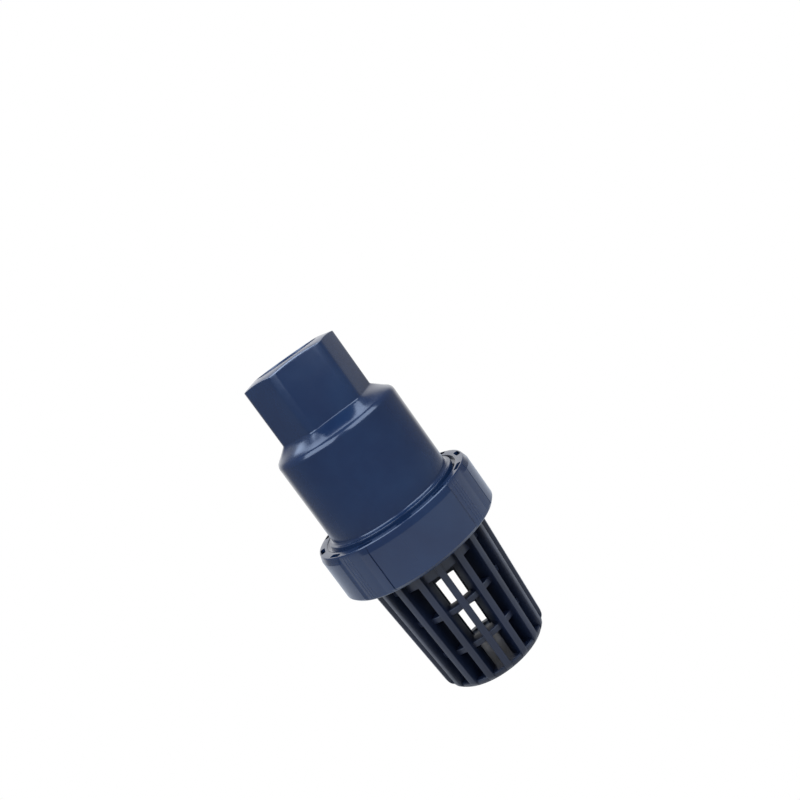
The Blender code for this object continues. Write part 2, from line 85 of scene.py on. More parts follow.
def adopt(name):  # names the new primitive and puts its place into its mesh
    obj = bpy.context.object
    obj.name = name
    obj.data.name = name
    bpy.ops.object.transform_apply(location=True, rotation=True, scale=True)
    return obj


def openEdit(obj, mode="VERT"):
    bpy.ops.object.select_all(action="DESELECT")
    obj.select_set(True)
    bpy.context.view_layer.objects.active = obj
    bpy.ops.object.mode_set(mode="EDIT")
    bpy.ops.mesh.select_mode(type=mode)
    bpy.ops.mesh.select_all(action="DESELECT")


def closeEdit():
    bpy.ops.object.mode_set(mode="OBJECT")


def pickVerts(obj, test):
    mesh = bmesh.from_edit_mesh(obj.data)
    for vert in mesh.verts:
        vert.select = test(vert.co)
    mesh.select_flush_mode()
    bmesh.update_edit_mesh(obj.data)


def pickEdges(obj, test):
    mesh = bmesh.from_edit_mesh(obj.data)
    picked = [edge for edge in mesh.edges if test(edge.verts[0].co, edge.verts[1].co)]
    for edge in mesh.edges:
        edge.select = False
    for edge in picked:
        edge.select = True
    bmesh.update_edit_mesh(obj.data)


def angleOf(point):  # 0 faces -Y and grows towards +X
    return degrees(atan2(point.x, -point.y))


def reachOf(point):
    return point.to_2d().length / mm


def roundedOutline(corners, steps=4):
    # corners are (radius, height, fillet) in mm round a closed section; each fillet becomes an arc
    made = []
    for index, (radius, height, fillet) in enumerate(corners):
        here = Vector((radius, height))
        if not fillet:
            made.append((radius, height))
            continue
        before = (Vector(corners[index - 1][:2]) - here).normalized()
        after = (Vector(corners[(index + 1) % len(corners)][:2]) - here).normalized()
        half = before.angle(after) / 2
        centre = here + (before + after).normalized() * fillet / sin(half)
        start = here + before * fillet / tan(half) - centre
        end = here + after * fillet / tan(half) - centre
        sweep = start.angle(end)
        for step in range(steps + 1):
            share = step / steps
            spoke = (start * sin((1 - share) * sweep) + end * sin(share * sweep)) / sin(sweep)
            made.append(tuple(centre + spoke))
    return made


def stepRing(scale, rise):
    bpy.ops.mesh.extrude_edges_move(TRANSFORM_OT_translate={"value": (0, 0, rise * mm)})
    bpy.ops.transform.resize(value=(scale, scale, 1), center_override=(0, 0, 0))


def seal(obj):  # merges doubles, turns the faces outwards
    bpy.ops.mesh.select_all(action="SELECT")
    bpy.ops.mesh.remove_doubles(threshold=0.00001)
    bpy.ops.mesh.normals_make_consistent(inside=False)
    closeEdit()
    return obj


def turned(name, corners, sides=96, steps=4):  # a ring with a hole, its section given by corners
    rings = roundedOutline(corners, steps)
    rings.append(rings[0])
    bpy.ops.object.select_all(action="DESELECT")
    bpy.ops.mesh.primitive_circle_add(
        vertices=sides, radius=rings[0][0] * mm, location=(0, 0, rings[0][1] * mm))
    obj = adopt(name)
    openEdit(obj)
    bpy.ops.mesh.select_all(action="SELECT")
    for (radius, height), (nextRadius, nextHeight) in zip(rings, rings[1:]):
        stepRing(nextRadius / radius, nextHeight - height)
    return seal(obj)


def turnedSolid(name, corners, sides=96, steps=4):  # no hole: the first and last corners are capped flat
    rings = roundedOutline(corners, steps)
    bpy.ops.object.select_all(action="DESELECT")
    bpy.ops.mesh.primitive_circle_add(
        vertices=sides, radius=rings[0][0] * mm, location=(0, 0, rings[0][1] * mm), fill_type="NGON")
    obj = adopt(name)
    openEdit(obj)
    bpy.ops.mesh.select_all(action="SELECT")
    for (radius, height), (nextRadius, nextHeight) in zip(rings, rings[1:]):
        stepRing(nextRadius / radius, nextHeight - height)
    bpy.ops.mesh.edge_face_add()
    return seal(obj)


def applyModifier(obj, kind, **settings):
    bpy.ops.object.select_all(action="DESELECT")
    obj.select_set(True)
    bpy.context.view_layer.objects.active = obj
    modifier = obj.modifiers.new(kind.lower(), kind)
    for name, value in settings.items():
        setattr(modifier, name, value)
    bpy.ops.object.modifier_apply(modifier=modifier.name)


def join(main, *others):
    bpy.ops.object.select_all(action="DESELECT")
    for obj in (main, *others):
        obj.select_set(True)
    bpy.context.view_layer.objects.active = main
    bpy.ops.object.join()
    return main


def boolean(obj, other, operation):
    applyModifier(obj, "BOOLEAN", operation=operation, object=other, solver="EXACT")
    bpy.data.objects.remove(other)


def aroundAxis(obj, angles):  # copies of obj, each with its own mesh, turned to these angles from the front
    copies = []
    for angle in angles:
        copy = obj.copy()
        copy.data = obj.data.copy()
        copy.data.transform(Matrix.Rotation(radians(angle), 4, "Z"))
        bpy.context.scene.collection.objects.link(copy)
        copies.append(copy)
    bpy.data.objects.remove(obj)
    return join(*copies)


stepsPerTurn = 48


def threadRidge(name, thread):
    # a right-hand helical ridge: one tooth's section, screwed up the axis and capped at both ends
    bpy.ops.object.select_all(action="DESELECT")
    bpy.ops.mesh.primitive_plane_add(size=1.0)
    obj = adopt(name)
    rootHalf, crestHalf = thread["rootWidth"] / 2, thread["crestWidth"] / 2
    section = [(thread["root"], -rootHalf), (thread["crest"], -crestHalf),
               (thread["crest"], crestHalf), (thread["root"], rootHalf)]
    openEdit(obj)
    mesh = bmesh.from_edit_mesh(obj.data)
    for face in mesh.faces:
        for loop, (radius, height) in zip(face.loops, section):
            loop.vert.co = (0, -radius * mm, (thread["bottom"] + height) * mm)
    bmesh.update_edit_mesh(obj.data)
    bpy.ops.mesh.select_all(action="SELECT")
    bpy.ops.mesh.delete(type="ONLY_FACE")
    closeEdit()
    steps = int(stepsPerTurn * thread["turns"])
    applyModifier(
        obj, "SCREW", axis="Z", angle=2 * pi * thread["turns"], use_merge_vertices=False,
        screw_offset=thread["pitch"] * thread["turns"] * mm, steps=steps, render_steps=steps)
    openEdit(obj)
    bpy.ops.mesh.select_all(action="SELECT")
    bpy.ops.mesh.fill_holes(sides=4)
    return seal(obj)


def finishPiece(obj, material, body, nodes, smooth=32):
    obj.data.materials.clear()
    obj.data.materials.append(material)
    bpy.ops.object.select_all(action="DESELECT")
    obj.select_set(True)
    bpy.context.view_layer.objects.active = obj
    bpy.ops.object.shade_smooth_by_angle(angle=radians(smooth))
    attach(obj, body)
    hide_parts(*nodes)
    print(obj.name, "made,", len(obj.data.polygons), "faces")


def heights(node):  # lowest and highest point of a CAD node, in mm
    low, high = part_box(node)
    return low.z / mm, high.z / mm


# Materials

def newMaterial(name):
    material = bpy.data.materials.new(name)
    material.use_nodes = True
    tree = material.node_tree
    place = addNode(tree, "ShaderNodeTexCoord").outputs["Object"]
    return material, tree, tree.nodes["Principled BSDF"], place


def connect(tree, shader, **links):
    for name, socket in links.items():
        tree.links.new(socket, shader.inputs[name.replace("_", " ")])


def mouldedPlastic(name, look):
    # rigid vinyl, injection moulded: the polished tool leaves a soft gloss, the melt's flow leaves faint
    # cloudy bands of tone, and the skin has a shallow orange peel
    material, tree, shader, place = newMaterial(name)
    cloud = addNode(tree, "ShaderNodeTexNoise", None, {
        "Vector": place, "Scale": 1 / (look["cloudSize"] * mm),
        "Detail": 3.0, "Roughness": 0.55, "Distortion": 0.4})
    tone = addNode(tree, "ShaderNodeValToRGB", None, {"Fac": cloud.outputs["Fac"]})
    tone.color_ramp.elements[0].position = 0.32
    tone.color_ramp.elements[0].color = linearColour(look["deep"])
    tone.color_ramp.elements[1].position = 0.7
    tone.color_ramp.elements[1].color = linearColour(look["pale"])
    colour = tone.outputs["Color"]
    if "scuffed" in look:  # a paler tone where edges are rubbed
        edge = addNode(tree, "ShaderNodeNewGeometry")
        wear = addNode(tree, "ShaderNodeMapRange", None, {
            "Value": edge.outputs["Pointiness"], "From Min": 0.52, "From Max": 0.62,
            "To Min": 0.0, "To Max": look["edgeWear"]})
        worn = addNode(tree, "ShaderNodeMix", {"data_type": "RGBA"})
        tree.links.new(wear.outputs["Result"], worn.inputs[0])
        tree.links.new(colour, worn.inputs[6])
        worn.inputs[7].default_value = linearColour(look["scuffed"])
        colour = worn.outputs[2]
    haze = addNode(tree, "ShaderNodeTexNoise", None, {
        "Vector": place, "Scale": 1 / (look["hazeSize"] * mm), "Detail": 2.0, "Roughness": 0.6})
    gloss = addNode(tree, "ShaderNodeMapRange", None, {
        "Value": haze.outputs["Fac"], "From Min": 0.3, "From Max": 0.7,
        "To Min": look["roughness"][0], "To Max": look["roughness"][1]})
    peel = addNode(tree, "ShaderNodeTexNoise", None, {
        "Vector": place, "Scale": 1 / (look["peelSize"] * mm), "Detail": 1.0, "Roughness": 0.4})
    skin = addNode(tree, "ShaderNodeBump", None, {
        "Height": peel.outputs["Fac"], "Strength": look["peelStrength"], "Distance": 0.1 * mm})
    connect(tree, shader, Base_Color=colour, Roughness=gloss.outputs["Result"], Normal=skin.outputs["Normal"])
    shader.inputs["IOR"].default_value = look["ior"]
    return material


def vulcanisedRubber(name, look):
    # EPDM, pressed in a mould and dusted with talc: matt, grey-black, with a fine grain
    material, tree, shader, place = newMaterial(name)
    dust = addNode(tree, "ShaderNodeTexNoise", None, {
        "Vector": place, "Scale": 1 / (look["dustSize"] * mm), "Detail": 4.0})
    tone = addNode(tree, "ShaderNodeValToRGB", None, {"Fac": dust.outputs["Fac"]})
    tone.color_ramp.elements[0].position = 0.4
    tone.color_ramp.elements[0].color = linearColour(look["deep"])
    tone.color_ramp.elements[1].position = 0.75
    tone.color_ramp.elements[1].color = linearColour(look["pale"])
    grain = addNode(tree, "ShaderNodeTexNoise", None, {
        "Vector": place, "Scale": 1 / (look["grainSize"] * mm), "Detail": 2.0})
    skin = addNode(tree, "ShaderNodeBump", None, {
        "Height": grain.outputs["Fac"], "Strength": 0.25, "Distance": 0.1 * mm})
    connect(tree, shader, Base_Color=tone.outputs["Color"], Normal=skin.outputs["Normal"])
    shader.inputs["Roughness"].default_value = look["roughness"]
    shader.inputs["IOR"].default_value = look["ior"]
    return material


def turnedSteel(name, look):
    # stainless steel off a lathe: concentric tool marks 0.15 mm apart, drawn at 0.3 mm or more to show
    material, tree, shader, place = newMaterial(name)
    split = addNode(tree, "ShaderNodeSeparateXYZ", None, {"Vector": place})
    flat = addNode(tree, "ShaderNodeCombineXYZ", None, {"X": split.outputs["X"], "Y": split.outputs["Y"]})
    radius = addNode(tree, "ShaderNodeVectorMath", {"operation": "LENGTH"}, {0: flat.outputs["Vector"]})
    depth = addNode(tree, "ShaderNodeMath", {"operation": "ADD"}, {
        0: radius.outputs["Value"], 1: split.outputs["Z"]})
    marks = addNode(tree, "ShaderNodeTexNoise", {"noise_dimensions": "1D"}, {
        "W": depth.outputs["Value"], "Scale": 1 / (look["markSize"] * mm), "Detail": 2.0})
    gloss = addNode(tree, "ShaderNodeMapRange", None, {
        "Value": marks.outputs["Fac"], "To Min": look["roughness"][0], "To Max": look["roughness"][1]})
    tone = addNode(tree, "ShaderNodeValToRGB", None, {"Fac": marks.outputs["Fac"]})
    tone.color_ramp.elements[0].color = linearColour(look["deep"])
    tone.color_ramp.elements[1].color = linearColour(look["pale"])
    skin = addNode(tree, "ShaderNodeBump", None, {
        "Height": marks.outputs["Fac"], "Strength": 0.3, "Distance": 0.05 * mm})
    connect(tree, shader, Base_Color=tone.outputs["Color"], Roughness=gloss.outputs["Result"],
            Normal=skin.outputs["Normal"])
    shader.inputs["Metallic"].default_value = 1.0
    return material


navyPvc = mouldedPlastic("moulded_navy_pvc", dict(
    deep="#122037", pale="#17283f", cloudSize=38, hazeSize=9,
    roughness=(0.16, 0.21), peelSize=1.1, peelStrength=0.05, ior=1.5))
darkPvc = mouldedPlastic("moulded_dark_navy_pvc", dict(  # the basket's batch is greyer and duller; its darker tone also paints in the shade that falls in the gaps between the ribs
    deep="#0d121e", pale="#131a2a", cloudSize=30, hazeSize=7,
    roughness=(0.3, 0.38), peelSize=1.1, peelStrength=0.06, ior=1.5))
greyPvc = mouldedPlastic("moulded_grey_pvc", dict(
    deep="#63676b", pale="#6e7276", scuffed="#85898c", edgeWear=0.3, cloudSize=24, hazeSize=6,
    roughness=(0.36, 0.46), peelSize=0.9, peelStrength=0.15, ior=1.53))
whitePtfe = mouldedPlastic("turned_white_ptfe", dict(
    deep="#dedcd4", pale="#ebe9e2", scuffed="#f4f2ec", edgeWear=0.2, cloudSize=12, hazeSize=4,
    roughness=(0.38, 0.48), peelSize=0.6, peelStrength=0.1, ior=1.38))
blackRubber = vulcanisedRubber("pressed_black_epdm", dict(
    deep="#131314", pale="#2a2a2b", dustSize=1.6, grainSize=0.35, roughness=0.62, ior=1.5))
stainless = turnedSteel("turned_stainless_steel", dict(
    deep="#a9a7a3", pale="#cfccc7", roughness=(0.2, 0.36), markSize=0.3))
springSteel = turnedSteel("drawn_spring_steel", dict(
    deep="#96938e", pale="#bfbcb6", roughness=(0.24, 0.38), markSize=0.5))
print("materials made")


# Valve body: one moulding from the hexagonal port down to the union thread

valveBody = dict(
    hexFlat=29.0, hexCorner=7.0, hexTurn=-22.5, hexHeight=41.2,
    flareHeight=8.0, shoulderRound=5.0, shoulderStart=0.9,  # the last is a share of the rounding's radius
    barrelRadius=42.1, chamberRadius=37.6, upperRadius=34.9, cageSpace=4.3,
    rimRadius=22.9, rimSlope=0.24, rimEdge=0.45, hexFootEdge=0.6,
    collarRadius=44.9, collarAboveNut=1.4, collarHeight=3.2, collarTaper=0.5,
    threadRoot=44.4, threadCrest=46.6, unionPitch=5.0, unionTurns=1.9, threadLeadIn=2.8, threadSink=0.3,
    throatRadius=17.5, throatLength=8.0, coneHeight=24.0,
    portRadius=20.95, portCrest=19.7, portPitch=2.31, portTurns=9.2, portDepth=24.0, portChamfer=1.0)


def meanReach(obj):  # of the picked vertices, in mm
    picked = [vert.co for vert in bmesh.from_edit_mesh(obj.data).verts if vert.select]
    return sum(reachOf(point) for point in picked) / len(picked)


def addValveBody():
    v = valveBody
    bottom, top = heights("valve_body")
    cageTop = heights("guide_cage")[0] + v["cageSpace"]
    hexBottom = top - v["hexHeight"]
    collarTop = heights("union_nut")[1] + v["collarAboveNut"]
    shoulder = hexBottom - v["flareHeight"]
    throatTop = top - v["portDepth"]
    coneTop = throatTop - v["throatLength"]
    bpy.ops.object.select_all(action="DESELECT")
    bpy.ops.mesh.primitive_circle_add(
        vertices=6, radius=v["hexFlat"] / cos(pi / 6) * mm, location=(0, 0, top * mm),
        rotation=(0, 0, radians(v["hexTurn"])))
    obj = adopt("valveBody")
    openEdit(obj)
    bpy.ops.mesh.select_all(action="SELECT")
    bpy.ops.mesh.bevel(offset=v["hexCorner"] * tan(pi / 6) * mm, segments=8, affect="VERTICES")
    pickEdges(obj, lambda a, b: (a - b).length > 5 * mm)
    bpy.ops.mesh.subdivide(number_cuts=11)
    bpy.ops.mesh.select_all(action="SELECT")
    hexMean = meanReach(obj)
    # down the outside and up the inside: (mean radius, height, how much of the corners is left)
    slope = Vector((v["barrelRadius"] - hexMean, shoulder - hexBottom)).normalized()
    flareEnd = Vector((v["barrelRadius"], shoulder)) - slope * v["shoulderStart"] * v["shoulderRound"]
    stations = [(hexMean, hexBottom, 1.0)]
    for share in (0.25, 0.5, 0.75, 1.0):
        radius = hexMean + (flareEnd.x - hexMean) * share
        height = hexBottom + (flareEnd.y - hexBottom) * share
        stations.append((radius, height, 1.0 - share))
    outline = roundedOutline([
        (flareEnd.x, flareEnd.y, 0),
        (v["barrelRadius"], shoulder, v["shoulderRound"]),
        (v["barrelRadius"], collarTop, 1.6),
        (v["collarRadius"], collarTop, 0.5),
        (v["collarRadius"], collarTop - v["collarHeight"], 0),
        (v["threadRoot"], collarTop - v["collarHeight"] - v["collarTaper"], 0),
        (v["threadRoot"], bottom, 0.8),
        (v["chamberRadius"], bottom, 0.6),
        (v["chamberRadius"], cageTop, 0),
        (v["upperRadius"], cageTop, 0),
        (v["upperRadius"], coneTop - v["coneHeight"], 3.0),
        (v["throatRadius"], coneTop, 3.0),
        (v["throatRadius"], throatTop, 0.5),
        (v["portRadius"], throatTop, 0),
        (v["portRadius"], top - v["portChamfer"], 0.3),
        (v["portRadius"] + v["portChamfer"], top, 0.3),
        (v["rimRadius"], top, 0),
    ], 8)
    stations += [(radius, height, 0.0) for radius, height in outline[1:]]
    height, corners = top, 1.0
    for radius, nextHeight, nextCorners in stations:
        bpy.ops.mesh.extrude_edges_move(TRANSFORM_OT_translate={"value": (0, 0, (nextHeight - height) * mm)})
        if nextCorners < corners:
            bpy.ops.transform.tosphere(value=1 - nextCorners / corners)
        scale = radius / meanReach(obj)
        bpy.ops.transform.resize(value=(scale, scale, 1), center_override=(0, 0, 0))
        height, corners = nextHeight, nextCorners
    # the rim: bridge the mouth to the hexagon, then let the hexagon's edge fall along a cone
    near = 0.05

    def onTop(point):
        return point.z > (top - near) * mm

    bpy.ops.mesh.select_mode(type="EDGE")
    pickEdges(obj, lambda a, b: onTop(a) and onTop(b) and min(reachOf(a), reachOf(b)) > v["rimRadius"] - near)
    bpy.ops.mesh.bridge_edge_loops()
    mesh = bmesh.from_edit_mesh(obj.data)
    for vert in mesh.verts:
        if onTop(vert.co) and reachOf(vert.co) > v["rimRadius"] + 2:
            vert.co.z -= v["rimSlope"] * (reachOf(vert.co) - v["rimRadius"]) * mm
    bmesh.update_edit_mesh(obj.data)
    seal(obj)
    # a small radius along the rim's edge and at the hexagon's foot
    openEdit(obj, "EDGE")

    def onOutline(a, b, lowest, highest):
        level = lowest * mm < min(a.z, b.z) and max(a.z, b.z) < highest * mm
        return level and min(reachOf(a), reachOf(b)) > v["hexFlat"] - 0.5 and abs(a.z - b.z) < 1.0 * mm

    pickEdges(obj, lambda a, b: onOutline(a, b, top - 6, top - 0.8))
    bpy.ops.mesh.bevel(offset=v["rimEdge"] * mm, segments=3)
    bpy.ops.mesh.select_all(action="DESELECT")
    pickEdges(obj, lambda a, b: onOutline(a, b, hexBottom - 0.1, hexBottom + 0.1))
    bpy.ops.mesh.bevel(offset=v["hexFootEdge"] * mm, segments=3)
    closeEdit()
    return obj


def addUnionThread():
    v = valveBody
    return threadRidge("unionThread", dict(
        root=v["threadRoot"] - v["threadSink"], crest=v["threadCrest"], rootWidth=3.0, crestWidth=1.4,
        pitch=v["unionPitch"], turns=v["unionTurns"], bottom=heights("valve_body")[0] + v["threadLeadIn"]))


def addPortThread():
    v = valveBody
    top = heights("valve_body")[1]
    return threadRidge("portThread", dict(
        root=v["portRadius"] + v["threadSink"], crest=v["portCrest"], rootWidth=2.2, crestWidth=0.45,
        pitch=v["portPitch"], turns=v["portTurns"], bottom=top - v["portDepth"] + 0.8))


body = addValveBody()
body = join(body, addUnionThread(), addPortThread())
finishPiece(body, navyPvc, "barrel", ["valve_body"])


# Union nut: four wide grip pads, each with a long ramp on one side and a step on the other

unionNut = dict(
    opening=47.4, wall=5.9, columns=720, bevel=2.0, lip=5.0, lipRadius=42.3,
    threadRoot=47.1, threadCrest=44.9, threadEnd=2.0,
    padHeight=1.1, padStart=-29.0, padEnd=35.5, padRamp=7.5, padStep=1.5, padChamfer=4.2,
    grooveDepth=0.7, ridges=(-50.0, -47.5, -45.0), ridgeHeight=0.22, partingAngle=-7.0, partingHeight=0.12,
    pocketCount=12, pocketWidth=3.0, pocketLength=10.2, pocketDepth=20.0, pocketInset=1.7, pocketEdge=0.9)


def addUnionNut():
    n = unionNut
    bottom, top = heights("union_nut")
    base = n["opening"] + n["wall"]
    chamferLow, bevelHigh = top - n["padChamfer"], bottom + n["bevel"]
    obj = turned("unionNut", [
        (n["opening"], top, 0.5), (base - 0.4, top, 0.3), (base, top - 0.6, 0.25), (base, chamferLow, 0),
        (base, chamferLow - 0.5, 0), (base, (chamferLow + bevelHigh) / 2, 0), (base, bevelHigh + 0.4, 0),
        (base, bevelHigh, 0), (base, bottom + 0.6, 0.3), (base - 0.6, bottom, 0.3),
        (n["lipRadius"], bottom, 0.5), (n["lipRadius"], bottom + n["lip"], 0.3),
        (n["threadRoot"], bottom + n["lip"], 0.4), (n["threadRoot"], top - n["threadEnd"], 0)],
        sides=n["columns"], steps=3)
    openEdit(obj)
    quarter = 360 / 4
    columnAngle = 360 / n["columns"]

    def grow(first, last, amount, bevelled=0.0):  # moves a stretch of the wall outwards, in all four quarters
        def inStretch(point):
            turn = (angleOf(point) - first + 0.1) % quarter
            inside = bevelHigh - 0.1 < point.z / mm < chamferLow + 0.1
            return inside and reachOf(point) > n["opening"] + 3 and turn < last - first + 0.2
        pickVerts(obj, inStretch)
        scale = (base + amount) / base
        bpy.ops.transform.resize(value=(scale, scale, 1), center_override=(0, 0, 0))

    rampSteps = int(n["padRamp"] / columnAngle)
    for step in range(1, rampSteps):
        angle = n["padStart"] - n["padRamp"] + columnAngle * step
        grow(angle, angle, n["padHeight"] * step / rampSteps)
    grow(n["padStart"], n["padEnd"], n["padHeight"])
    endSteps = int(n["padStep"] / columnAngle)
    for step in range(1, endSteps):
        angle = n["padEnd"] + columnAngle * step
        grow(angle, angle, n["padHeight"] * (1 - step / endSteps))
    for angle in (n["padStart"], n["padEnd"]):
        grow(angle, angle, -n["grooveDepth"])
    for angle in n["ridges"]:
        grow(angle, angle, n["ridgeHeight"])

    # the mould's parting line crosses two opposite pads
    def onParting(point):
        return abs((angleOf(point) - n["partingAngle"] + 90) % 180 - 90) < 0.1 and reachOf(point) > base + 1

    pickVerts(obj, onParting)
    scale = 1 + n["partingHeight"] / base
    bpy.ops.transform.resize(value=(scale, scale, 1), center_override=(0, 0, 0))
    closeEdit()
    middle = n["opening"] + n["pocketInset"] + n["pocketWidth"] / 2
    bpy.ops.object.select_all(action="DESELECT")
    bpy.ops.mesh.primitive_cube_add(
        size=1, location=(0, -middle * mm, (top + 1 - n["pocketDepth"] / 2) * mm),
        scale=(n["pocketLength"] * mm, n["pocketWidth"] * mm, n["pocketDepth"] * mm))
    cutter = adopt("pocketCutter")
    openEdit(cutter, "EDGE")
    pickEdges(cutter, lambda a, b: abs(a.z - b.z) > 5 * mm)
    bpy.ops.mesh.bevel(offset=n["pocketEdge"] * mm, segments=3)
    closeEdit()
    pockets = aroundAxis(cutter, [360 / n["pocketCount"] * step for step in range(n["pocketCount"])])
    boolean(obj, pockets, "DIFFERENCE")
    return obj


def addNutThread():
    n, v = unionNut, valveBody
    return threadRidge("nutThread", dict(
        root=n["threadRoot"] + v["threadSink"], crest=n["threadCrest"], rootWidth=3.0, crestWidth=1.4,
        pitch=v["unionPitch"], turns=v["unionTurns"],
        bottom=heights("valve_body")[0] + v["threadLeadIn"] + v["unionPitch"] / 2))


nut = join(addUnionNut(), addNutThread())
finishPiece(nut, navyPvc, "nut", ["union_nut"], smooth=24)


# Strainer basket: deep ribs on hoops, a closed floor, and the flange that the nut pulls up

strainer = dict(
    bottomRadius=36.6, topRadius=41.9, height=heights("union_nut")[0],  # the ribs end at the nut's lower face
    floor=3.4, cornerRadius=6.0, baseRecess=1.3, ribCount=18, ribWidth=4.4, ribDepth=12.6, ribEdge=0.45,
    hoopPitch=25.2, hoopHeight=3.8, hoopRecess=4.6, neckStep=1.0, flangeRadius=44.5, flangeHeight=4.0)


def addStrainer():
    s = strainer
    top = heights("strainer_basket")[1]
    flangeBottom = top - s["flangeHeight"]
    neckTop = s["height"] - s["neckStep"]

    def wall(height):
        return s["bottomRadius"] + (s["topRadius"] - s["bottomRadius"]) * height / s["height"]

    def hoopSection(low, high):
        return [(wall(low) - s["ribDepth"], low, 0.5), (wall(low) - s["hoopRecess"], low, 0.5),
                (wall(high) - s["hoopRecess"], high, 0.5), (wall(high) - s["ribDepth"], high, 0.5)]

    hoops = []
    sides = 6 * s["ribCount"]
    for level in (1, 2):
        middle, half = s["hoopPitch"] * level, s["hoopHeight"] / 2
        hoops.append(turned(f"hoop{level}", hoopSection(middle - half, middle + half), sides))
    collarLow = 3 * s["hoopPitch"] - s["hoopHeight"] / 2
    neck = turned("neck", [
        (wall(collarLow) - s["ribDepth"], collarLow, 0.5),
        (wall(collarLow) - s["hoopRecess"], collarLow, 0.5),
        (wall(s["height"]) - s["hoopRecess"], neckTop, 0.4), (s["topRadius"], neckTop, 0.4),
        (s["topRadius"], flangeBottom, 0.4), (s["flangeRadius"], flangeBottom, 0.4),
        (s["flangeRadius"], top, 0.4), (s["topRadius"] - s["ribDepth"], top, 0.6)], sides)
    # the closed end: a shallow dimple below, a rounded foot, and a low kerb round the floor inside
    low, high = s["bottomRadius"] - s["baseRecess"], wall(s["floor"]) - s["baseRecess"]
    closedEnd = turnedSolid("closedEnd", [
        (5.0, 0.5, 0), (6.0, 0.5, 0), (6.6, 0, 0), (low - 3.6, 0, 0), (low - 1.6, 0.5, 0),
        (low - 0.5, 1.6, 0), (low, 3.0, 0), (high, s["floor"] + 0.6, 0), (high - 0.8, s["floor"] + 1.2, 0),
        (high - 4.0, s["floor"] + 1.2, 0), (high - 4.8, s["floor"], 0), (3.0, s["floor"], 0)], sides)
    basket = join(neck, *hoops, closedEnd)
    # one rib: a leaning box with a round lower corner and eased edges
    bpy.ops.object.select_all(action="DESELECT")
    middle = s["bottomRadius"] - s["ribDepth"] / 2
    bpy.ops.mesh.primitive_cube_add(
        size=1, location=(0, -middle * mm, (s["height"] - 0.5) / 2 * mm),
        scale=(s["ribWidth"] * mm, s["ribDepth"] * mm, (s["height"] - 0.5) * mm))
    rib = adopt("rib")
    openEdit(rib)
    pickVerts(rib, lambda p: p.z > s["height"] / 2 * mm)
    bpy.ops.transform.translate(value=(0, -(s["topRadius"] - s["bottomRadius"]) * mm, 0))
    bpy.ops.mesh.select_mode(type="EDGE")
    pickEdges(rib, lambda a, b: max(a.z, b.z) < 1 * mm and max(a.y, b.y) < -middle * mm)
    bpy.ops.mesh.bevel(offset=s["cornerRadius"] * mm, segments=8)
    pickEdges(rib, lambda a, b: abs(a.x - b.x) < 0.1 * mm and max(a.y, b.y) < -middle * mm)
    bpy.ops.mesh.bevel(offset=s["ribEdge"] * mm, segments=2)
    closeEdit()
    ribs = aroundAxis(rib, [360 / s["ribCount"] * step for step in range(s["ribCount"])])
    boolean(basket, ribs, "UNION")
    basket.name = "strainerBasket"
    return basket


finishPiece(addStrainer(), darkPvc, "strainer", ["strainer_basket"], smooth=28)


# Pieces inside, seen through the strainer and the port

def ringPiece(node, name, corners, material, body):  # heights are counted from the node's lowest point
    low = heights(node)[0]
    obj = turned(name, [(radius, low + height, fillet) for radius, height, fillet in corners])
    finishPiece(obj, material, body, [node])


def rectangle(outer, inner, height, fillet):
    return [(outer, 0, fillet), (outer, height, fillet), (inner, height, fillet), (inner, 0, fillet)]


seals = dict(
    gasketOuter=44.5, gasketInner=38.0, gasketHeight=2.0, ringCentre=35.9, ringSection=2.8, ringSteps=20,
    sealOuter=28.0, sealHeight=2.5)


def addSeals():
    s = seals
    gasket = rectangle(s["gasketOuter"], s["gasketInner"], s["gasketHeight"], 0.4)
    ringPiece("flange_gasket", "flangeGasket", gasket, blackRubber, "strainer")
    radius = s["ringSection"] / 2
    turns = [2 * pi * step / s["ringSteps"] for step in range(s["ringSteps"])]
    section = [(s["ringCentre"] + radius * cos(turn), radius + radius * sin(turn), 0) for turn in turns]
    ringPiece("seat_ring_o_ring", "seatRingORing", section, blackRubber, "barrel")
    sealSection = rectangle(s["sealOuter"], poppet["hole"], s["sealHeight"], 0.5)
    ringPiece("seat_seal", "seatSeal", sealSection, blackRubber, "poppet")


poppet = dict(
    hole=4.4, discRadius=29.0, discHeight=6.0, bossRadius=8.5, bossHeight=5.0, shelfRadius=12.2,
    retainerRadius=21.5, retainerHeight=2.4, washerRadius=8.0, washerHeight=1.7,
    nutFlats=13.0, nutChamfer=0.9,
    stemRadius=4.0, stemChamfer=0.6, stemCollarRadius=6.5, stemCollarHeight=3.0, stemCollarGap=0.3)


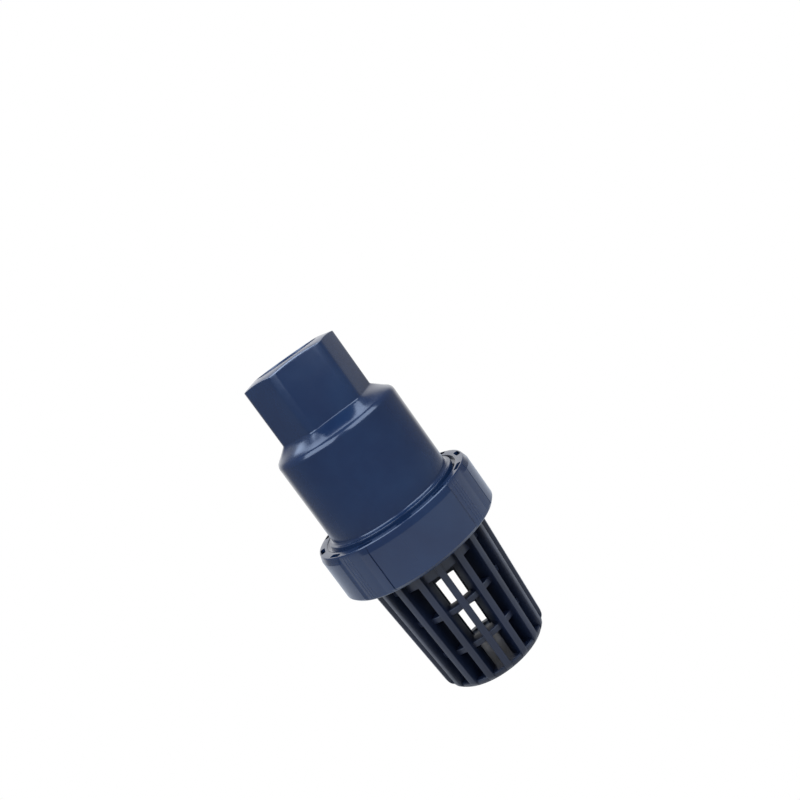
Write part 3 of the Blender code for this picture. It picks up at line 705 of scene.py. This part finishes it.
def addPoppet():
    p = poppet
    hole = p["hole"]
    top = p["discHeight"] + p["bossHeight"]
    ringPiece("poppet_disc", "poppetDisc", [
        (p["discRadius"] - 1.0, 0, 0.3), (p["discRadius"], 1.0, 0.3), (p["discRadius"], 2.4, 0.6),
        (p["shelfRadius"], p["discHeight"], 1.0), (p["bossRadius"], p["discHeight"], 0.6),
        (p["bossRadius"], top, 0.7), (hole, top, 0.3), (hole, 0, 0.3)], navyPvc, "poppet")
    ringPiece("seal_retainer", "sealRetainer", [
        (p["retainerRadius"], p["retainerHeight"], 0.3), (p["retainerRadius"], 0.9, 0.4),
        (p["retainerRadius"] - 1.4, 0, 0.5), (hole, 0, 0.3), (hole, p["retainerHeight"], 0.3)],
        navyPvc, "poppet")
    ringPiece("lock_washer", "lockWasher", rectangle(p["washerRadius"], hole, p["washerHeight"], 0.2),
              stainless, "poppet")
    # the nut: a chamfered ring, cut to six flats
    low, high = heights("stem_lock_nut")
    corner, faceRadius = p["nutFlats"] / 2 / cos(pi / 6), p["nutFlats"] / 2 - 0.1
    nutBlank = turned("lockNut", [
        (corner, low + p["nutChamfer"], 0), (corner, high - p["nutChamfer"], 0), (faceRadius, high, 0),
        (hole, high, 0.3), (hole, low, 0.3), (faceRadius, low, 0)])
    bpy.ops.object.select_all(action="DESELECT")
    bpy.ops.mesh.primitive_cylinder_add(
        vertices=6, radius=corner * mm, depth=20 * mm, location=(0, 0, low * mm))
    boolean(nutBlank, adopt("nutFlats"), "INTERSECT")
    finishPiece(nutBlank, stainless, "poppet", ["stem_lock_nut"])
    # the stem: a rod with a collar that rests on the disc's boss
    low, high = heights("poppet_stem")
    collarLow = heights("poppet_disc")[1] + p["stemCollarGap"]
    collarHigh = collarLow + p["stemCollarHeight"]
    radius, chamfer = p["stemRadius"], p["stemChamfer"]
    stem = turnedSolid("poppetStem", [
        (radius - chamfer, low, 0), (radius, low + chamfer, 0.2), (radius, collarLow, 0),
        (p["stemCollarRadius"], collarLow, 0.3), (p["stemCollarRadius"], collarHigh, 0.3),
        (radius, collarHigh, 0.3), (radius, high - chamfer, 0.2), (radius - chamfer, high, 0)], 64)
    finishPiece(stem, stainless, "poppet", ["poppet_stem"])


seat = dict(
    bore=24.0, faceOuter=28.0, rise=1.2, spigot=37.2, grooveRoot=34.2, grooveHalf=1.7, grooveBelowFace=5.2,
    flangeOuter=44.5, flangeHeight=4.0, leadIn=2.5)


def addSeatRing():
    s = seat
    low, high = heights("seat_ring")
    face = high - low
    groove = face - s["grooveBelowFace"]
    ringPiece("seat_ring", "seatRing", [
        (s["bore"], face, 0.4), (s["faceOuter"], face, 0.4), (s["faceOuter"] + 1.0, face - s["rise"], 0.3),
        (s["spigot"] - 1.0, face - s["rise"], 0.3), (s["spigot"], face - s["rise"] - 1.0, 0.3),
        (s["spigot"], groove + s["grooveHalf"], 0.2), (s["grooveRoot"], groove + s["grooveHalf"], 0.3),
        (s["grooveRoot"], groove - s["grooveHalf"], 0.3), (s["spigot"], groove - s["grooveHalf"], 0.2),
        (s["spigot"], s["flangeHeight"], 0.3), (s["flangeOuter"], s["flangeHeight"], 0.4),
        (s["flangeOuter"], 0, 0.4), (s["bore"] + s["leadIn"], 0, 0.6), (s["bore"], s["leadIn"], 0.6)],
        greyPvc, "barrel")


cage = dict(
    ringOuter=37.2, ringInner=33.6, height=4.0, hubRadius=12.0, hubTop=10.5, hubHeight=12.0, hubBore=5.6,
    spokes=4, spokeWidth=4.4, spokeSink=2.0, spokeEdge=0.7, bushBore=4.4, bushRadius=5.3, bushFlange=7.3,
    bushFlangeHeight=1.4, washerOuter=11.3, washerInner=7.6, washerHeight=0.8)


def addGuideCage():
    c = cage
    low = heights("guide_cage")[0]
    ring = turned("guideCage", [(radius, low + height, fillet) for radius, height, fillet in
                                rectangle(c["ringOuter"], c["ringInner"], c["height"], 0.6)], 120)
    hubHigh = low + c["hubHeight"]
    hub = turned("hub", [
        (c["hubRadius"], low, 0.6), (c["hubTop"], hubHigh, 0.9),
        (c["hubBore"], hubHigh, 0.3), (c["hubBore"], low, 0.3)])
    # a spoke runs from inside the hub's wall to 1 mm inside the ring's
    start = c["hubRadius"] - c["spokeSink"]
    reach = c["ringInner"] + 1 - start
    bpy.ops.object.select_all(action="DESELECT")
    bpy.ops.mesh.primitive_cube_add(
        size=1, location=(0, -(start + reach / 2) * mm, (low + c["height"] / 2) * mm),
        scale=(c["spokeWidth"] * mm, reach * mm, (c["height"] - 1.2) * mm))
    spoke = adopt("spoke")
    openEdit(spoke, "EDGE")
    pickEdges(spoke, lambda a, b: abs(a.y - b.y) > 5 * mm)
    bpy.ops.mesh.bevel(offset=c["spokeEdge"] * mm, segments=3)
    closeEdit()
    boolean(ring, aroundAxis(spoke, [45 + 360 / c["spokes"] * step for step in range(c["spokes"])]), "UNION")
    boolean(ring, hub, "UNION")
    finishPiece(ring, greyPvc, "barrel", ["guide_cage"])
    bushLow, bushHigh = heights("guide_bush")
    bushHeight = bushHigh - bushLow
    ringPiece("guide_bush", "guideBush", [
        (c["bushBore"], 0, 0.3), (c["bushFlange"], 0, 0.3), (c["bushFlange"], c["bushFlangeHeight"], 0.3),
        (c["bushRadius"], c["bushFlangeHeight"], 0), (c["bushRadius"], bushHeight, 0.3),
        (c["bushBore"], bushHeight, 0.3)], whitePtfe, "barrel")
    washer = rectangle(c["washerOuter"], c["washerInner"], c["washerHeight"], 0.15)
    ringPiece("spring_washer", "springWasher", washer, stainless, "barrel")


addSeals()
addPoppet()
addSeatRing()
addGuideCage()


# Floor, world and lights

studio = dict(
    floorRadius=0.7, floorLevel=-0.02,  # below the strainer, which drops 15 mm when the nut is undone
    floorGlow=0.4, worldFront=0.26, worldBack=1.1, backFrom=0.72, backTo=0.95, windowTint="#cce0ff",
    lamps=[
        dict(name="leftSoftbox", place=(-0.62, -0.6, 0.82), size=(1.2, 0.8), radiance=6.2),
        dict(name="rightSoftbox", place=(0.66, -0.6, 0.82), size=(1.2, 0.8), radiance=6.2),
        dict(name="overhead", place=(0.0, 0.55, 1.25), size=(1.2, 1.0), radiance=5.0)])


def whiteToTheEye(tree, shader, output):  # the camera sees white, whatever light the surface gives
    ray = addNode(tree, "ShaderNodeLightPath")
    white = addNode(tree, "ShaderNodeEmission", None, {"Color": (1, 1, 1, 1), "Strength": 1.0})
    mixed = addNode(tree, "ShaderNodeMixShader", None, {0: ray.outputs["Is Camera Ray"]})
    tree.links.new(shader, mixed.inputs[1])
    tree.links.new(white.outputs["Emission"], mixed.inputs[2])
    tree.links.new(mixed.outputs["Shader"], output.inputs["Surface"])


def addFloor():
    bpy.ops.object.select_all(action="DESELECT")
    bpy.ops.mesh.primitive_circle_add(
        vertices=128, radius=studio["floorRadius"], fill_type="NGON", location=(0, 0, studio["floorLevel"]))
    ground = adopt("studioFloor")
    material = bpy.data.materials.new("white_paper")
    material.use_nodes = True
    tree = material.node_tree
    shader = tree.nodes["Principled BSDF"]
    shader.inputs["Base Color"].default_value = linearColour("#8a8a8a")
    shader.inputs["Roughness"].default_value = 1.0
    shader.inputs["Specular IOR Level"].default_value = 0.0
    shader.inputs["Emission Color"].default_value = (1, 1, 1, 1)
    shader.inputs["Emission Strength"].default_value = studio["floorGlow"]
    whiteToTheEye(tree, shader.outputs["BSDF"], tree.nodes["Material Output"])
    ground.data.materials.append(material)


def addWorld():
    # the light that it gives is dim in front and white behind, as from a backdrop
    world = bpy.data.worlds.new("studio")
    bpy.context.scene.world = world
    world.use_nodes = True
    tree = world.node_tree
    tree.nodes.clear()
    place = addNode(tree, "ShaderNodeTexCoord")
    split = addNode(tree, "ShaderNodeSeparateXYZ", None, {"Vector": place.outputs["Generated"]})
    level = addNode(tree, "ShaderNodeMapRange", {"interpolation_type": "SMOOTHSTEP"}, {
        "Value": split.outputs["Y"], "From Min": studio["backFrom"], "From Max": studio["backTo"],
        "To Min": studio["worldFront"], "To Max": studio["worldBack"]})
    dim = addNode(tree, "ShaderNodeBackground", None, {
        "Color": (1, 1, 1, 1), "Strength": level.outputs["Result"]})
    whiteToTheEye(tree, dim.outputs["Background"], addNode(tree, "ShaderNodeOutputWorld"))


def addLamps():
    for lamp in studio["lamps"]:
        data = bpy.data.lights.new(lamp["name"], "AREA")
        data.shape = "RECTANGLE"
        data.size, data.size_y = lamp["size"]
        data.energy = lamp["radiance"] * pi * data.size * data.size_y
        data.color = linearColour(studio["windowTint"])[:3]
        obj = bpy.data.objects.new(lamp["name"], data)
        bpy.context.scene.collection.objects.link(obj)
        obj.location = lamp["place"]
        sight = Vector((0, 0, 0.14)) - Vector(lamp["place"])
        obj.rotation_mode = "QUATERNION"
        obj.rotation_quaternion = sight.to_track_quat("-Z", "Y")


addFloor()
addWorld()
addLamps()
bpy.context.scene.view_settings.view_transform = "Standard"
print("studio set")


# The spring stays its CAD node and gets its material; it keeps one length at every pose
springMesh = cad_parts["closing_spring"].data
springMesh.materials.clear()
springMesh.materials.append(springSteel)
